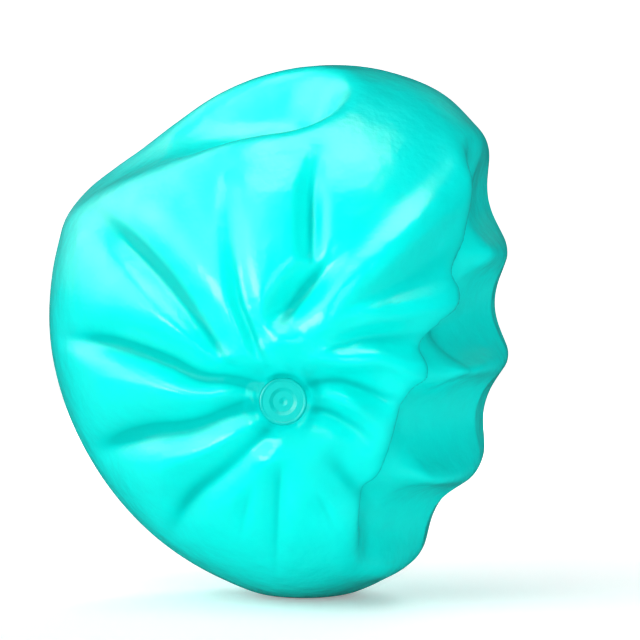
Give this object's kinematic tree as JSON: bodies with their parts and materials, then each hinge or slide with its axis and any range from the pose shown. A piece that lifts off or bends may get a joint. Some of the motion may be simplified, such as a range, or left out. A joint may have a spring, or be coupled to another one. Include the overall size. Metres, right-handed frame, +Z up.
{
  "type": "stress ball",
  "caption": "Jumbo squeeze ball: a stretchy moulded skin filled with gel, closed by a barbed plug, set in the shape of a gripping hand.",
  "frame": {"origin": "middle of the flat patch under the ball, on the table it rests on", "axes": "+Z up; the fill plug's face looks towards -Y; +X is the side with the dents of the four fingers"},
  "size_m": [0.0854, 0.0964, 0.095],
  "materials": {
    "skin": "satin",
    "gel": "gloss",
    "plug": "satin",
    "adhesive": "gloss"
  },
  "bodies": {
    "ball": {"outer_skin": "skin", "gel_filling": "gel"},
    "plug": {"fill_plug": "plug", "plug_adhesive": "adhesive"}
  },
  "joints": [
    {"name": "plug_press", "type": "slide", "parent": "ball", "child": "plug", "axis": [0, 1, 0], "range_m": [-0.005, 0.015], "stiffness_N_per_m": 900, "deforming": ["outer_skin", "gel_filling"]}
  ]
}
